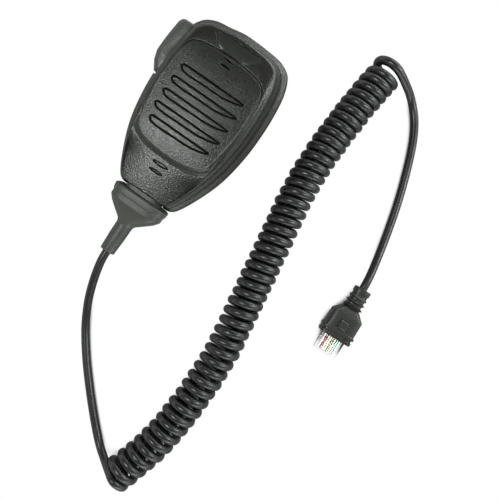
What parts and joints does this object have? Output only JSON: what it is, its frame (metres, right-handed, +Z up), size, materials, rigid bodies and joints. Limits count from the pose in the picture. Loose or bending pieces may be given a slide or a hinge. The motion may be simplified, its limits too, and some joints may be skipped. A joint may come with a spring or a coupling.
{
  "type": "hand microphone",
  "caption": "Hand microphone for a two-way radio: slotted case, push-to-talk lever, hang-up button, cord bushing, and a curly cord that ends in a booted modular plug.",
  "frame": {"origin": "on the surface that the microphone lies on, under the middle of the microphone without its cord", "axes": "+Z up, out of the surface and roughly out of the grille; +Y towards the top end of the case, so the cord leaves at -Y; +X to the right as seen from above, with the push-to-talk lever at -X"},
  "size_m": [0.1574, 0.248, 0.0312],
  "materials": {
    "case_plastic": "fine-grained matte black with a satin sheen",
    "nameplate_plastic": "satin black, blank",
    "ptt_plastic": "dark grey, fine grain",
    "screw_steel": "zinc-plated steel",
    "button_metal": "polished metal",
    "soft_rubber": "matte black",
    "switch_plastic": "matte black",
    "plunger_plastic": "ivory",
    "board_green": "green solder mask",
    "chip_black": "matte black",
    "capsule_metal": "bright",
    "felt": "black felt",
    "header_plastic": "ivory",
    "cord_rubber": "satin black",
    "clear_plastic": "clear",
    "contact_gold": "gold-plated",
    "red_insulation": "insulation",
    "yellow_insulation": "insulation",
    "green_insulation": "insulation",
    "blue_insulation": "insulation",
    "white_insulation": "insulation",
    "black_insulation": "insulation",
    "conductor_white": "insulation",
    "conductor_brown": "insulation",
    "conductor_pink": "insulation",
    "conductor_yellow": "insulation",
    "conductor_black": "insulation",
    "conductor_grey": "insulation",
    "conductor_green": "insulation",
    "conductor_teal": "insulation"
  },
  "bodies": {
    "case": {"front_shell": "case_plastic", "rear_shell": "case_plastic", "nameplate": "nameplate_plastic", "ptt_pivot_pin": "screw_steel", "hang_washer": "screw_steel", "hang_nut": "screw_steel", "cord_clamp": "screw_steel", "case_screw_1": "screw_steel", "case_screw_2": "screw_steel", "case_screw_3": "screw_steel", "case_screw_4": "screw_steel", "board_screw_1": "screw_steel", "board_screw_2": "screw_steel", "clamp_screw_1": "screw_steel", "clamp_screw_2": "screw_steel", "hang_button": "button_metal", "ptt_seal": "soft_rubber", "capsule_boot": "soft_rubber", "switch_body": "switch_plastic", "circuit_board": "board_green", "amplifier_chip": "chip_black", "mic_capsule": "capsule_metal", "inlet_felt": "felt", "wire_header": "header_plastic", "wire_housing": "header_plastic", "cord_bushing": "cord_rubber", "inner_cable": "cord_rubber", "cord_lead_mic": "cord_rubber", "cord_curl": "cord_rubber", "cord_lead_plug": "cord_rubber", "plug_boot": "cord_rubber", "plug_body": "clear_plastic", "contact_1": "contact_gold", "contact_2": "contact_gold", "contact_3": "contact_gold", "contact_4": "contact_gold", "contact_5": "contact_gold", "contact_6": "contact_gold", "contact_7": "contact_gold", "contact_8": "contact_gold", "wire_red": "red_insulation", "wire_yellow": "yellow_insulation", "wire_green": "green_insulation", "wire_blue": "blue_insulation", "wire_white": "white_insulation", "wire_black": "black_insulation", "conductor_1_white": "conductor_white", "conductor_2_brown": "conductor_brown", "conductor_3_pink": "conductor_pink", "conductor_4_yellow": "conductor_yellow", "conductor_5_black": "conductor_black", "conductor_6_grey": "conductor_grey", "conductor_7_green": "conductor_green", "conductor_8_teal": "conductor_teal"},
    "ptt": {"ptt_button": "ptt_plastic"},
    "plunger": {"switch_plunger": "plunger_plastic"},
    "latch": {"plug_latch": "clear_plastic"},
    "pad": {"release_pad": "cord_rubber"}
  },
  "joints": [
    {"name": "ptt_press", "type": "hinge", "parent": "case", "child": "ptt", "pos_m": [-0.02344, 0.02496, 0.01792], "axis": [0, 0.0818, -0.9966], "range_deg": [0, 4], "stiffness_Nm_per_rad": 0.6, "springref_deg": -1.72, "deforming": ["ptt_seal"]},
    {"name": "switch_press", "type": "slide", "parent": "case", "child": "plunger", "axis": [1, 0, 0], "range_m": [0, 0.00045]},
    {"name": "latch_press", "type": "hinge", "parent": "case", "child": "latch", "pos_m": [0.1175, -0.04051, 0.01035], "axis": [-0.999, -0.0454, 0], "range_deg": [0, 4], "stiffness_Nm_per_rad": 0.05, "springref_deg": -1.15},
    {"name": "pad_press", "type": "slide", "parent": "case", "child": "pad", "axis": [0, 0, -1], "range_m": [0, 0.00105]}
  ],
  "couplings": [
    {"joint": "switch_press", "follows": "ptt_press", "m_per_rad": 0.006},
    {"joint": "latch_press", "follows": "pad_press", "rad_per_m": 66.2}
  ]
}
